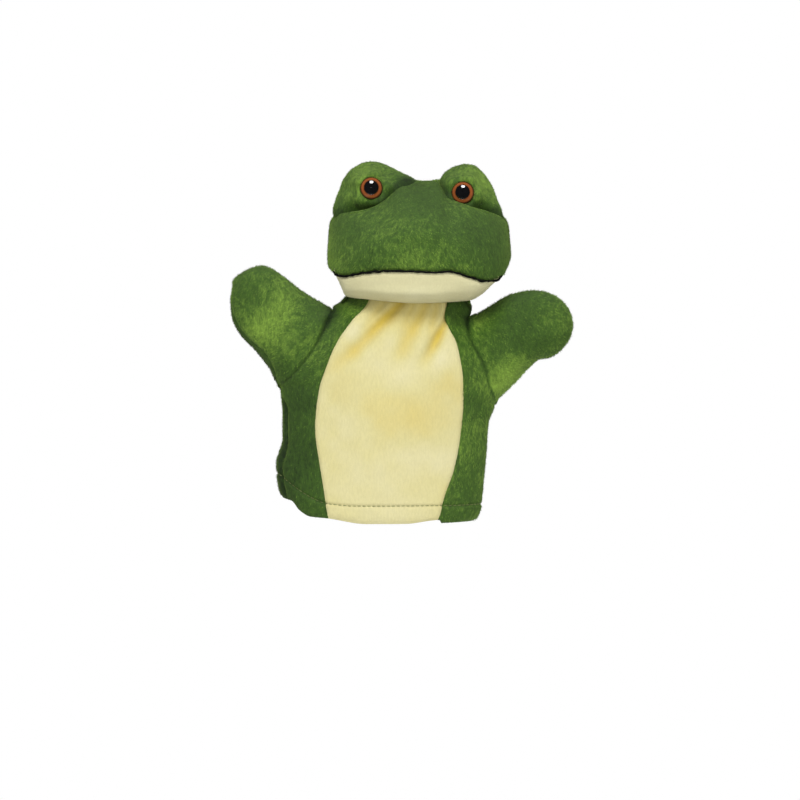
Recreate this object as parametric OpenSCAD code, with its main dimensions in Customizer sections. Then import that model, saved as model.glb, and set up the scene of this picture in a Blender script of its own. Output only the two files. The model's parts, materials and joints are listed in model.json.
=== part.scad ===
// Plush frog hand puppet. Units are millimetres. The origin is the centre of the hand opening,
// +Z runs up the body, and the puppet faces -Y, so its own left side is +X.
// The fabric is drawn as thin closed panels that meet at the seams.

/* [Body] */
// Half the width of the body above the hem
body_half_w = 64.5; // [62:0.5:66]
// Half the depth of the body with a hand inside
body_half_d = 25; // [23:0.5:27]
// Thickness of the plush fabric
cloth = 2; // [1.5:0.1:2.4]
// Height of the folded hem
hem_h = 11; // [9:0.5:13]

/* [Arms] */
// Length of an arm from the middle of its root to its tip
arm_len = 51; // [48:0.5:54]
// Half the width of a paw
paw_half_w = 23; // [21:0.5:24]
// Half the depth of an arm where it folds forward
arm_half_d = 15; // [13.5:0.25:15.5]
// Rise of the right arm above level
right_arm_rise = 44; // [40:1:46]
// Rise of the left arm above level
left_arm_rise = 30; // [27:1:34]

/* [Head] */
// Half the width of the head
head_half_w = 56.8; // [54:0.2:58]
// Reach of the snout in front of the neck
snout_d = 52; // [48:0.5:54]
// Reach of the head behind the neck
nape_d = 42; // [39:0.5:44]
// Height of the mouth line above the hem
mouth_z = 155; // [153:0.5:157]

/* [Eyes] */
// Diameter of an eye
eye_d = 14; // [12:0.5:15]
// Diameter of the pupil and its stem's collar
pupil_d = 8.8; // [7:0.2:9.4]

/* [Joints] */
// Clearance between fabric pieces that move against each other
gap = 0.5; // [0.4:0.05:0.7]

/* [Hidden] */

LEAF = "#53712f";
PALE = "#e1d58d";
CREAM = "#ddd6a7";
DARK = "#1c1a14";
seam = 0.4;                 // degrees left open at each side of a seam
big = 200;

// Body: the neck plane, and the centre line, half width and half depth at each height.
// Above the armpits the half width runs on into the arms, which cut it away.
neck_z = 126;
armpit_z = 84;
body_rows = [0, 5, hem_h, 20, 32, 45, 58, 70, 80, 88, 96, 105, 115, neck_z];
body_mid = [[0, 0], [15, 0], [45, 3.5], [70, 5.5], [84, 6], [100, 9], [neck_z, 13]];
body_wide = [[0, -2], [15, 0], [48, -0.6], [68, 0.7], [armpit_z, 2.5], [100, 10.5],
    [neck_z, -4.5]];
body_deep = [[0, 0], [60, 1], [100, 0], [neck_z, -3]];
// Edges of the belly panel at each height, as distances from the body's centre line
belly_right = [[0, 31.5], [20, 35], [60, 44.5], [84, 43], [100, 41], [neck_z, 29]];
belly_left = [[0, 36.5], [20, 41.5], [50, 46.5], [75, 47], [100, 41.5], [neck_z, 26]];

// Arms: the middle of each root, which is the axis that the arm is raised about
right_root = [-54, 0, 114.5];
left_root = [74.2, 0, 105.6];
root_r = 30;
arm_rows = [-30, -24, -18, -12, -6, 0, 6, 12, 18, 24, 30, 36, 41, 45, 48, 50, 50.9];
arm_mid = [[-30, 0], [-12, 1.5], [0, 3.3], [20, 3.5], [44, 3.3], [arm_len, 1.5]];
arm_taper = [[-30, 6.5], [-12, 6], [0, 3.6], [10, 1.2], [20, 0.3], [30, 0]];
arm_flare = [[-30, 5], [-13, 3.2], [0, 1.8], [16, 0], [36, -2.5], [arm_len, -3]];
fold_x = 16;                // the axis that the arm folds forward about
fold_r = arm_half_d + 0.5;
front_trim = 7;             // the shoulder's front wall stops this far short of the axis

// Neck: a short tube that turns on the body and lets the head nod
neck_x = 18;
neck_half_w = 33;
neck_half_d = 20;
nod_z = 138;
nod_r = 24;
neck_rows = [neck_z + gap, 133, 140, 146];

// Head: an egg-like form about the height where it is widest
head_z = 168;
head_top = 44;
head_drop = 36;
head_x = 24.8;
chin_lats = [-64.5, -58, -50, -41, -32, -25, -21.5];
snout_lats = [-20.9, -14, -5, 5, 15, 25, 35, 45, 54, 62, 70, 78, 86];
nape_lats = [-64.5, -55, -44, -32, -20, -8, 5, 18, 30, 42, 54, 65, 76, 86];
// Eye mounds: centres and half sizes
right_mound = [-5.5, -3, 203];
right_mound_r = [22, 18, 20.8];
left_mound = [54.5, -3, 202];
left_mound_r = [19.5, 17, 19.8];
// Eyes: where each stem passes through its mound, and the way the eye looks
right_eye = [-4.8, -21, 206.3];
left_eye = [51.4, -20, 203.6];
right_look = [0, 8];
left_look = [-4, 7];
eye_h = 5;
stem_r = 2.2;
stem_len = 13;
washer_r = 7.3;
washer_h = 1.4;
pocket_r = 12;
pocket_top = 201;

// A smooth curve through [place, value] pairs
function along(t, x, i = 0) =
    x <= t[0][0] ? t[0][1] :
    i >= len(t) - 1 ? t[len(t) - 1][1] :
    x > t[i + 1][0] ? along(t, x, i + 1) :
    let (
        a = t[max(i - 1, 0)], b = t[i], c = t[i + 1], d = t[min(i + 2, len(t) - 1)],
        h = c[0] - b[0], s = (x - b[0]) / h,
        mb = (c[1] - a[1]) / (c[0] - a[0]) * h, mc = (d[1] - b[1]) / (d[0] - b[0]) * h
    )
    (2*s^3 - 3*s^2 + 1) * b[1] + (s^3 - 2*s^2 + s) * mb
        + (3*s^2 - 2*s^3) * c[1] + (s^3 - s^2) * mc;

function fold(v, p) = sign(v) * abs(v)^p;
function span(a, b, n) = [for (i = [0:n]) a + (b - a) * i / n];

// Points of each surface: u runs round it, anticlockwise from above, and v runs up or along it
body_pt = function (u, v)
    [along(body_mid, v) + (body_half_w + along(body_wide, v)) * cos(u),
     (body_half_d + along(body_deep, v)) * sin(u), v];
neck_pt = function (u, v) let (k = 1 - 0.008 * (v - neck_z))
    [neck_x + neck_half_w * k * cos(u), neck_half_d * k * sin(u), v];
arm_pt = function (u, v)
    let (
        q = max(0, (v - 18) / (arm_len - 18)), end = (1 - min(1, q^2.35))^0.42,
        w = paw_half_w + along(arm_taper, v), d = arm_half_d + along(arm_flare, v)
    )
    [v, d * end * fold(sin(u), 0.9), along(arm_mid, v) - w * end * fold(cos(u), 0.95)];
// The head's surface, or the same form with its half sizes smaller by inset
function head_at(inset) = function (u, v)
    let (
        up = v > 0, c = cos(v),
        w = (head_half_w - inset) * c^(up ? 0.4 : 0.7),
        d = sin(u) < 0 ? (snout_d - inset) * c^(up ? 2.2 : 0.85)
            : (nape_d - inset) * c^(up ? 0.7 : 0.75)
    )
    [head_x + (up ? 0 : 6.8 * sin(v)) + w * fold(cos(u), 0.88), d * fold(sin(u), 0.9),
     head_z + ((up ? head_top : head_drop) - inset) * sin(v)];

// A point moved off a surface along its normal, inward where off is negative
function lift(pt, u, v, off) =
    let (
        e = 0.2, p = pt(u, v), n = cross(pt(u + e, v) - pt(u - e, v), pt(u, v + e) - pt(u, v - e))
    )
    p + n / norm(n) * off;
function patch(pt, us, vs, off) = [for (v = vs) [for (u = us(v)) lift(pt, u, v, off)]];
function front(n) = function (v) span(180 + seam, 360 - seam, n);
function back(n) = function (v) span(seam, 180 - seam, n);
function ring(n) = function (v) [for (i = [0:n - 1]) i * 360 / n];

// A cloth panel: an outer and an inner sheet of points, closed round its four edges
module panel(outer, inner) {
    m = len(outer);
    n = len(outer[0]);
    a = function (i, j) i * n + j;
    b = function (i, j) (m + i) * n + j;
    quads = concat(
        [for (i = [0:m - 2], j = [0:n - 2])
            each [[a(i, j), a(i + 1, j), a(i + 1, j + 1), a(i, j + 1)],
                [b(i, j), b(i, j + 1), b(i + 1, j + 1), b(i + 1, j)]]],
        [for (j = [0:n - 2])
            each [[a(0, j), a(0, j + 1), b(0, j + 1), b(0, j)],
                [a(m - 1, j + 1), a(m - 1, j), b(m - 1, j), b(m - 1, j + 1)]]],
        [for (i = [0:m - 2])
            each [[a(i + 1, 0), a(i, 0), b(i, 0), b(i + 1, 0)],
                [a(i, n - 1), a(i + 1, n - 1), b(i + 1, n - 1), b(i, n - 1)]]]
    );
    polyhedron(
        [for (row = concat(outer, inner), p = row) p],
        [for (q = quads) each [[q[0], q[1], q[2]], [q[0], q[2], q[3]]]]
    );
}

// A solid form inside closed rings of points
module bulb(rings) {
    m = len(rings);
    n = len(rings[0]);
    a = function (i, j) i * n + j % n;
    polyhedron(
        [for (row = rings, p = row) p],
        concat(
            [for (i = [0:m - 2], j = [0:n - 1])
                each [[a(i, j), a(i + 1, j), a(i + 1, j + 1)],
                    [a(i, j), a(i + 1, j + 1), a(i, j + 1)]]],
            [[for (j = [0:n - 1]) a(0, j)], [for (j = [n - 1:-1:0]) a(m - 1, j)]]
        )
    );
}

// A thread: a thin tube along a list of points on a surface that faces -Y or bulges outward
module thread(path, r, sides = 6) {
    bulb([for (i = [0:len(path) - 1])
        let (
            t = path[min(i + 1, len(path) - 1)] - path[max(i - 1, 0)],
            ahead = t / norm(t),
            flat = cross([0, 0, 1], ahead) / norm(cross([0, 0, 1], ahead)),
            up = cross(ahead, flat)
        )
        [for (j = [0:sides - 1]) let (a = j * 360 / sides)
            path[i] + r * (flat * cos(a) + up * sin(a))]]);
}

// Places a shape that lies along +X at an arm's root. The right arm mirrors the left.
module at_root(side) {
    root = side == "right" ? right_root : left_root;
    rise = side == "right" ? right_arm_rise : left_arm_rise;
    translate(root) mirror([side == "right" ? 1 : 0, 0, 0]) rotate([0, -rise, 0]) children();
}

module root_cylinder(r) {
    rotate([90, 0, 0]) cylinder(h = big, r = r, center = true, $fn = 96);
}

module fold_cylinder(r) {
    translate([fold_x, 0, 0]) cylinder(h = big, r = r, center = true, $fn = 64);
}

// Everything past x along an arm
module beyond(x) {
    translate([x, -big / 2, -big / 2]) cube(big);
}

// One side of an arm, root to tip
module arm_sheet(us) {
    panel(patch(arm_pt, us, arm_rows, 0), patch(arm_pt, us, arm_rows, -cloth));
}

module shoulder(us, is_front) {
    difference() {
        intersection() {
            arm_sheet(us);
            union() {
                root_cylinder(root_r - gap);
                beyond(0);
            }
        }
        fold_cylinder(fold_r + gap);
        beyond(is_front ? fold_x - front_trim : fold_x);
    }
}

module arm_end(us) {
    intersection() {
        arm_sheet(us);
        union() {
            fold_cylinder(fold_r);
            beyond(fold_x);
        }
    }
}

// A body panel between two lists of angles, thicker along the folded hem
module body_sheet(us) {
    difference() {
        panel(
            patch(body_pt, us, body_rows, 0),
            [for (v = body_rows)
                [for (u = us(v)) let (p = lift(body_pt, u, v, v <= hem_h ? -cloth * 1.6 : -cloth))
                    [p[0], p[1], v]]]
        );
        at_root("right") root_cylinder(root_r);
        at_root("left") root_cylinder(root_r);
    }
}

function belly_angle(v, x) = 360 - acos(x / (body_half_w + along(body_wide, v)));
function belly_from(v) = belly_angle(v, -along(belly_right, v));
function belly_to(v) = belly_angle(v, along(belly_left, v));

module body_back_panel() { color(LEAF) body_sheet(back(18)); }
module right_flank_panel() {
    color(LEAF) body_sheet(function (v) span(180 + seam, belly_from(v) - seam / 4, 7));
}
module left_flank_panel() {
    color(LEAF) body_sheet(function (v) span(belly_to(v) + seam / 4, 360 - seam, 6));
}
module belly_panel() {
    color(PALE) body_sheet(function (v) span(belly_from(v), belly_to(v), 8));
}

// Running stitches that hold the hem's fold, just proud of the panels
module hem_stitching() {
    count = 56;
    color(DARK) for (i = [0:count - 1]) {
        u = (i + 0.5) * 360 / count;
        p = lift(body_pt, u, hem_h, 0.55);
        t = body_pt(u + 0.5, hem_h) - body_pt(u - 0.5, hem_h);
        translate(p) rotate([0, 0, atan2(t[1], t[0])]) cube([3, 0.6, 0.6], center = true);
    }
}

// Blank woven label, caught in the right side seam and hanging inside
module care_label() {
    color("white") translate([-57.5, -0.3, 15]) cube([16, 0.6, 22]);
}

module right_shoulder_front() { color(LEAF) at_root("right") shoulder(front(14), true); }
module right_shoulder_back() { color(LEAF) at_root("right") shoulder(back(14), false); }
module right_arm_front() { color(LEAF) at_root("right") arm_end(front(14)); }
module right_arm_back() { color(LEAF) at_root("right") arm_end(back(14)); }
module left_shoulder_front() { color(LEAF) at_root("left") shoulder(front(14), true); }
module left_shoulder_back() { color(LEAF) at_root("left") shoulder(back(14), false); }
module left_arm_front() { color(LEAF) at_root("left") arm_end(front(14)); }
module left_arm_back() { color(LEAF) at_root("left") arm_end(back(14)); }

module neck_sheet(us) {
    panel(
        patch(neck_pt, us, neck_rows, 0),
        [for (v = neck_rows) [for (u = us(v)) let (p = lift(neck_pt, u, v, -cloth)) [p[0], p[1], v]]]
    );
}

module neck_front() { color(PALE) neck_sheet(front(12)); }
module neck_back() { color(LEAF) neck_sheet(back(12)); }

// Room that the neck needs inside the head as the head nods
module nod_space() {
    translate([neck_x, 0, nod_z]) rotate([0, 90, 0])
        cylinder(h = 2 * (neck_half_w + 3 * gap), r = nod_r, center = true, $fn = 72);
}

module egg(centre, half) {
    translate(centre) bulb([for (lat = [-84:14:84])
        [for (u = [0:20:340]) let (c = cos(lat))
            [half[0] * c * cos(u), half[1] * c * sin(u), half[2] * sin(lat)]]]);
}

module right_mound_form(in) { egg(right_mound, right_mound_r - [in, in, in]); }
module left_mound_form(in) { egg(left_mound, left_mound_r - [in, in, in]); }

module head_form(inset) {
    bulb(patch(head_at(inset), ring(36), nape_lats, 0));
}

module head_sheet(us, lats) {
    difference() {
        panel(patch(head_at(0), us, lats, 0), patch(head_at(cloth), us, lats, 0));
        nod_space();
        right_mound_form(-0.2);
        left_mound_form(-0.2);
        at_eye("right") eye_space();
        at_eye("left") eye_space();
    }
}

module snout_panel() { color(LEAF) head_sheet(front(18), snout_lats); }
module head_back_panel() { color(LEAF) head_sheet(back(18), nape_lats); }
module chin_panel() { color(CREAM) head_sheet(front(18), chin_lats); }

// Places a shape whose nose is +Z at an eye
module at_eye(side) {
    p = side == "right" ? right_eye : left_eye;
    look = side == "right" ? right_look : left_look;
    translate(p) rotate([90 - look[1], 0, look[0]]) children();
}

// Room in front of a mound for the eye, where the snout's edge folds round it
module eye_space() {
    cylinder(h = 2 * eye_h, r = eye_d / 2 + gap, $fn = 48);
}

module eye_mound(side) {
    color(LEAF) difference() {
        if (side == "right") right_mound_form(0); else left_mound_form(0);
        if (side == "right") right_mound_form(cloth); else left_mound_form(cloth);
        head_form(-0.3);
        at_eye(side) cylinder(h = 20, r = stem_r + 0.3, center = true, $fn = 32);
    }
}

module right_eye_mound() { eye_mound("right"); }
module left_eye_mound() { eye_mound("left"); }

// The embroidered line over the seam between the snout and the chin
module mouth_stitching() {
    lat = asin((mouth_z - head_z) / head_drop);
    color(DARK) thread([for (u = [182:4:358]) lift(head_at(0), u, lat, 1.2)], 0.8);
}

// Filling round the finger pocket, with room for the neck and the eyes' stems
module head_stuffing() {
    color("ivory") difference() {
        union() {
            head_form(cloth + 0.8);
            right_mound_form(cloth + 0.3);
            left_mound_form(cloth + 0.3);
        }
        nod_space();
        translate([neck_x, 0, nod_z])
            cylinder(h = pocket_top - nod_z + 0.3, r = pocket_r + 0.3, $fn = 48);
        for (side = ["right", "left"]) at_eye(side)
            translate([0, 0, -stem_len - 1]) cylinder(h = 20, r = washer_r + 0.4, $fn = 48);
    }
}

// Cloth pocket for the first finger, closed at the top
module finger_pocket() {
    foot = nod_z + nod_r + gap;
    color("ivory") translate([neck_x, 0, 0]) difference() {
        translate([0, 0, foot]) cylinder(h = pocket_top - foot, r = pocket_r, $fn = 48);
        translate([0, 0, foot - 1]) cylinder(h = pocket_top - foot, r = pocket_r - 1, $fn = 48);
    }
}

// Clear amber ring of the eye, domed, round the black core
module eye_iris(side) {
    color("#b4622f") at_eye(side) rotate_extrude($fn = 64) intersection() {
        translate([pupil_d / 2 + 0.05, 0.4]) square([eye_d / 2 - pupil_d / 2 - 0.05, eye_h]);
        translate([0, eye_h - dome_r()]) circle(r = dome_r(), $fn = 128);
    }
}

function dome_r() = ((eye_d / 2 + 0.2)^2 + (eye_h - 1)^2) / (2 * (eye_h - 1));

// Black core of the eye: the pupil's dome, and the stem that goes through the fabric
module eye_pupil(side) {
    color("#0a0a0a") at_eye(side) {
        rotate_extrude($fn = 64) intersection() {
            translate([0, 0.4]) square([pupil_d / 2 - 0.05, eye_h]);
            translate([0, eye_h - dome_r()]) circle(r = dome_r(), $fn = 128);
        }
        translate([0, 0, -stem_len]) cylinder(h = stem_len + 0.4, r = stem_r, $fn = 32);
    }
}

// Locking washer pushed on the stem, inside the mound
module eye_washer(side) {
    color("gray") at_eye(side) translate([0, 0, -6]) difference() {
        cylinder(h = washer_h, r = washer_r, $fn = 48);
        translate([0, 0, -1]) cylinder(h = washer_h + 2, r = stem_r + 0.05, $fn = 32);
    }
}

module right_eye_iris() { eye_iris("right"); }
module right_eye_pupil() { eye_pupil("right"); }
module right_eye_washer() { eye_washer("right"); }
module left_eye_iris() { eye_iris("left"); }
module left_eye_pupil() { eye_pupil("left"); }
module left_eye_washer() { eye_washer("left"); }

body_back_panel();
right_flank_panel();
left_flank_panel();
belly_panel();
hem_stitching();
care_label();
right_shoulder_front();
right_shoulder_back();
right_arm_front();
right_arm_back();
left_shoulder_front();
left_shoulder_back();
left_arm_front();
left_arm_back();
neck_front();
neck_back();
snout_panel();
head_back_panel();
chin_panel();
right_eye_mound();
left_eye_mound();
mouth_stitching();
head_stuffing();
finger_pocket();
right_eye_iris();
right_eye_pupil();
right_eye_washer();
left_eye_iris();
left_eye_pupil();
left_eye_washer();
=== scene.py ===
"""A plush frog hand puppet: fabric panels, pile, stitching and eyes, built round the CAD frame.

Lengths in this file are millimetres until they reach Blender, which works in metres.
The puppet faces -Y, so its own right side is -X.
"""
import json
import math

import bpy
import numpy as np
from mathutils import Euler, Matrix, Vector


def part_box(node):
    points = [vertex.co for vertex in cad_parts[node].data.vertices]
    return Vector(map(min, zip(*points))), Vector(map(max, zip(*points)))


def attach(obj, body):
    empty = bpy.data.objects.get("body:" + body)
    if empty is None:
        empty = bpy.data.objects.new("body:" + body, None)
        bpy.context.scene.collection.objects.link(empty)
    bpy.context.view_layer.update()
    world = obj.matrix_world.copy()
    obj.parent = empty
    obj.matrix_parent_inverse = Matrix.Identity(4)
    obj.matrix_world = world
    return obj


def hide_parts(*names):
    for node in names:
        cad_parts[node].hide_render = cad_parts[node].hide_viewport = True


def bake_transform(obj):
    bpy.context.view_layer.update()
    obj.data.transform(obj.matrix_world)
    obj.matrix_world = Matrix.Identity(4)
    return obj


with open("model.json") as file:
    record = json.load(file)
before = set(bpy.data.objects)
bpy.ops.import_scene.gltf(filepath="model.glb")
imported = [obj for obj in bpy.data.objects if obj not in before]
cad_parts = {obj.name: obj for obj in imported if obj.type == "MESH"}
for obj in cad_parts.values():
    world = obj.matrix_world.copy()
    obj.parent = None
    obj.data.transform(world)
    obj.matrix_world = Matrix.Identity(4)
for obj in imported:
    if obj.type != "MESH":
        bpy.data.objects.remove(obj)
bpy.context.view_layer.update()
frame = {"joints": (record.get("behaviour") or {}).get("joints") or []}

MM = 0.001
CLOTH = 1.6                 # a panel's thickness
SEAM_DEPTH = 1.2            # how far the cloth dips into a seam, and how wide the dip is
SEAM_WIDTH = 1.9
COAT = 0.5                  # how far the backing lies under the surface of the pile
LEAN = 72                   # how far the tufts lean over, in degrees
ROOT = 0.25                 # how deep they are set in the backing
SWIRL = 16                  # the size of the swirls that they lie in
TONES = 1.6                 # a fabric's palest tone, and with a minus its deepest


# ---------------------------------------------------------------- curves, noise and grids

def curve(*table):
    """A smooth function through (place, value) pairs, level past both ends."""
    x, y = np.array(table, float).T
    h = np.diff(x)
    d = np.diff(y) / h
    # The slope is level at every peak and valley, so the curve never overshoots
    m = np.concatenate([d[:1], np.zeros(len(d) - 1), d[-1:]])
    rising = d[:-1] * d[1:] > 0
    m[1:-1][rising] = 2 * (d[:-1] * d[1:])[rising] / (d[:-1] + d[1:])[rising]

    def at(q):
        q = np.clip(q, x[0], x[-1])
        i = np.clip(np.searchsorted(x, q) - 1, 0, len(h) - 1)
        s = (q - x[i]) / h[i]
        return ((2 * s**3 - 3 * s**2 + 1) * y[i] + (s**3 - 2 * s**2 + s) * h[i] * m[i]
                + (3 * s**2 - 2 * s**3) * y[i + 1] + (s**3 - s**2) * h[i] * m[i + 1])

    return at


def ease(a, b, x):
    """0 before a, 1 after b, and smooth between."""
    t = np.clip((x - a) / (b - a), 0, 1)
    return t * t * (3 - 2 * t)


def bell(x, width):
    """1 at 0, and smoothly down to nothing a few widths away."""
    return np.exp(-(x / width) ** 2)


HASH = np.array([7919, 104729, 15485863])
NOISE_VALUES = 4096


def noise(p, size, seed):
    """Smooth noise from -1 to 1 at points p, with lumps of about the given size."""
    table = np.random.default_rng(seed).uniform(-1, 1, NOISE_VALUES)
    q = np.asarray(p, float) / size + 1000
    i = np.floor(q).astype(np.int64)
    f = q - i
    f = f * f * (3 - 2 * f)
    total = 0
    for corner in range(8):
        c = np.array([corner >> 2 & 1, corner >> 1 & 1, corner & 1])
        value = table[np.bitwise_xor.reduce((i + c) * HASH, axis=-1) & (NOISE_VALUES - 1)]
        total = total + value * np.prod(np.where(c, f, 1 - f), axis=-1)
    return total


def between(a, b, t):
    return (1 - t) * np.asarray(a) + t * np.asarray(b)


def unit(v):
    return v / np.maximum(np.linalg.norm(v, axis=-1, keepdims=True), 1e-9)


def full_turn(steps):
    return np.linspace(0, 2 * math.pi, steps, endpoint=False)


def ring_closed(a):
    """The array with its first column repeated after its last."""
    return np.concatenate([a, a[:, :1]], 1)


def grid_normals(g, closed=False):
    """Outward normals of a grid whose columns run anticlockwise seen from above and rows run up."""
    if closed:
        wide = np.concatenate([g[:, -1:], g, g[:, :1]], axis=1)
        across = np.gradient(wide, axis=1)[:, 1:-1]
    else:
        across = np.gradient(g, axis=1)
    return unit(np.cross(across, np.gradient(g, axis=0)))


def normals(g, closed=False, guide=None):
    """Outward normals, taken from the guide's rough outward direction where the grid is pinched."""
    n = grid_normals(g, closed)
    if guide is None:
        return n
    rough = guide(g)
    sure = ease(-0.1, 0.25, np.sum(n * rough, axis=-1))[..., None]
    return unit(rough * (1 - sure) + n * sure)


def pushed(g, amount, closed=False, guide=None):
    """The grid moved along its normals."""
    return g + normals(g, closed, guide) * np.asarray(amount)[..., None]


def run_from(g, side):
    """Each grid point's distance along the grid from one of its four sides."""
    axis = 1 if side in ("left", "right") else 0
    step = np.linalg.norm(np.diff(g, axis=axis), axis=-1)
    pad = [(0, 0), (0, 0)]
    pad[axis] = (1, 0)
    run = np.cumsum(np.pad(step, pad), axis=axis)
    if side in ("right", "top"):
        last = run[:, -1:] if axis == 1 else run[-1:]
        return last - run
    return run


def tuck(g, *sides, depth=SEAM_DEPTH, width=SEAM_WIDTH):
    """How far the fabric dips into the seams along some of a panel's sides."""
    dip = np.zeros(g.shape[:2])
    for side in sides:
        dip = np.maximum(dip, bell(run_from(g, side), width))
    return -depth * dip


def grid_area(g):
    a, b = g[1:, 1:] - g[:-1, :-1], g[1:, :-1] - g[:-1, 1:]
    return np.linalg.norm(np.cross(a, b), axis=-1) / 2


# ---------------------------------------------------------------- meshes

def new_mesh(name, points, faces, materials, indices=None):
    """A mesh object from points in millimetres and faces as an array of corners.

    indices gives each face's material by its place in materials.
    """
    mesh = bpy.data.meshes.new(name)
    faces = np.asarray(faces, np.int32)
    count, corners = faces.shape
    mesh.vertices.add(len(points))
    mesh.vertices.foreach_set("co", (np.asarray(points, float) * MM).astype(np.float32).ravel())
    mesh.loops.add(count * corners)
    mesh.loops.foreach_set("vertex_index", faces.ravel())
    mesh.polygons.add(count)
    mesh.polygons.foreach_set("loop_start", np.arange(0, count * corners, corners, dtype=np.int32))
    mesh.update(calc_edges=True)
    mesh.polygons.foreach_set("use_smooth", np.full(count, True))
    for material in materials:
        mesh.materials.append(material)
    if indices is not None:
        mesh.polygons.foreach_set("material_index", np.asarray(indices, np.int32))
    mesh.validate()
    obj = bpy.data.objects.new(name, mesh)
    bpy.context.scene.collection.objects.link(obj)
    return obj


def quads_between(index, flip=False):
    """Quads between neighbouring rows and columns of an array of vertex numbers."""
    q = np.stack([index[:-1, :-1], index[:-1, 1:], index[1:, 1:], index[1:, :-1]], -1)
    q = q.reshape(-1, 4)
    return q[:, ::-1] if flip else q


def shell(name, g, material, thick=CLOTH, closed=False, inner=None, tone=None, guide=None,
          backing=None):
    """A closed sheet of cloth: the grid, a second layer inside it, and its edges."""
    if inner is None:
        inner = pushed(g, np.full(g.shape[:2], -thick), closed, guide)
    rows, cols = g.shape[:2]
    a = np.arange(rows * cols).reshape(rows, cols)
    b = a + rows * cols
    if closed:
        a, b = ring_closed(a), ring_closed(b)
    faces = [quads_between(a), quads_between(b, flip=True)]
    rims = [(a[0], b[0], True), (a[-1], b[-1], False)]
    if not closed:
        rims += [(a[:, 0], b[:, 0], False), (a[:, -1], b[:, -1], True)]
    for outer_rim, inner_rim, flip in rims:
        faces.append(quads_between(np.stack([outer_rim, inner_rim]), flip))
    points = np.concatenate([g.reshape(-1, 3), inner.reshape(-1, 3)])
    sides = [np.full(len(f), int(k == 1)) for k, f in enumerate(faces)]
    materials = [material] if backing is None else [material, backing]
    sides = None if backing is None else np.concatenate(sides)
    obj = new_mesh(name, points, np.concatenate(faces), materials, indices=sides)
    if tone is not None:
        # The tone attribute holds the nap's own tone and any painted light and shade that the tone
        # function adds
        layer = obj.data.attributes.new("tone", "FLOAT", "POINT")
        layer.data.foreach_set("value", (0.5 + 0.5 / TONES * tone(points)).astype(np.float32))
    return obj


def tube(name, path, radius, material):
    """A closed round thread along a path, with a radius for each of its points."""
    sides = 8
    radius = np.array(radius)
    radius[[0, -1]] *= 0.35
    along = unit(np.gradient(path, axis=0))
    side = unit(np.cross(along, [0.0, 0.0, 1.0]))
    up = np.cross(side, along)
    turn = full_turn(sides)[None, :, None]
    ring = np.cos(turn) * side[:, None] + np.sin(turn) * up[:, None]
    points = (path[:, None] + ring * radius[:, None, None]).reshape(-1, 3)
    index = ring_closed(np.arange(len(points)).reshape(len(path), sides))
    start, end = len(points), len(points) + 1
    caps = [(*index[0, j:j + 3], start) for j in range(0, sides, 2)]
    caps += [(*index[-1, j:j + 3][::-1], end) for j in range(0, sides, 2)]
    points = np.concatenate([points, path[:1], path[-1:]])
    faces = np.concatenate([quads_between(index, flip=True), caps])
    return new_mesh(name, points, faces, [material])


def pile(name, g, cloth, seed, tone, closed=False, droop=-1.0, length=None, guide=None,
         lean=LEAN):
    """Short plush tufts that lie along the nap, as small closed spikes in several shades.

    droop is -1 where the nap runs down the rows and 1 where it runs up them.
    """
    rng = np.random.default_rng(seed)
    n = normals(g, closed, guide)
    rise = unit(np.gradient(g, axis=0))
    if closed:
        g, n, rise = ring_closed(g), ring_closed(n), ring_closed(rise)
    area = grid_area(g)
    count = int(area.sum() * cloth.density)
    pick = np.searchsorted(np.cumsum(area.ravel()), rng.uniform(0, area.sum(), count))
    i, j = np.unravel_index(np.minimum(pick, area.size - 1), area.shape)
    a, b = rng.uniform(0, 1, (2, count, 1))

    def at(v):
        return ((1 - a) * ((1 - b) * v[i, j] + b * v[i, j + 1])
                + a * ((1 - b) * v[i + 1, j] + b * v[i + 1, j + 1]))

    p, n, rise = at(g), unit(at(n)), at(rise)
    rise = unit(rise - n * np.sum(rise * n, -1, keepdims=True))
    side = np.cross(n, rise)
    swirl = (noise(p, SWIRL, seed + 1) * 0.9 + rng.normal(0, 0.3, count))[:, None]
    nap = unit(droop * rise * np.cos(swirl) + side * np.sin(swirl))
    side = np.cross(n, nap)
    lean = np.radians(rng.normal(lean, 6, count))[:, None]
    reach = (length or cloth.length) * rng.uniform(0.7, 1.3, count)[:, None]
    if droop < 0 and length is None:
        # Tufts are shorter where they would hang over the panel's lower edge
        reach = reach * (0.3 + 0.7 * ease(0, 3, run_from(g, "bottom")[i, j]))[:, None]
    tip = p + reach * (n * np.cos(lean) + nap * np.sin(lean))
    half = cloth.width * rng.uniform(0.8, 1.2, count)[:, None]
    root = p - n * ROOT
    points = np.stack([root + side * half, root - side * half, root + nap * half * 0.9, tip], 1)
    base = np.arange(count)[:, None, None] * 4
    faces = (base + np.array([[0, 2, 1], [0, 1, 3], [1, 2, 3], [2, 0, 3]])).reshape(-1, 3)
    # The tufts take the same tone as the cloth, painted light and shade included
    shade = tone(p) + rng.normal(0, cloth.mottle, count)
    levels = len(cloth.shades)
    shade = np.clip(np.round((shade / TONES + 1) / 2 * (levels - 1)), 0, levels - 1)
    obj = new_mesh(name, points.reshape(-1, 3), faces, cloth.shades, np.repeat(shade, 4))
    soft = unit(n + nap * 0.25 + side * rng.normal(0, 0.22, (count, 1)))
    soft = np.repeat(soft, 4, axis=0)
    obj.data.normals_split_custom_set_from_vertices(soft.tolist())
    return obj


# ---------------------------------------------------------------- materials

def srgb(r, g, b):
    """Linear colour from 0-255 display values."""
    return tuple(c / 12.92 if c <= 0.04045 else ((c + 0.055) / 1.055) ** 2.4
                 for c in (r / 255, g / 255, b / 255)) + (1.0,)


def scaled(colour, k):
    return tuple(min(1.0, c * k) for c in colour[:3]) + (1.0,)


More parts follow.
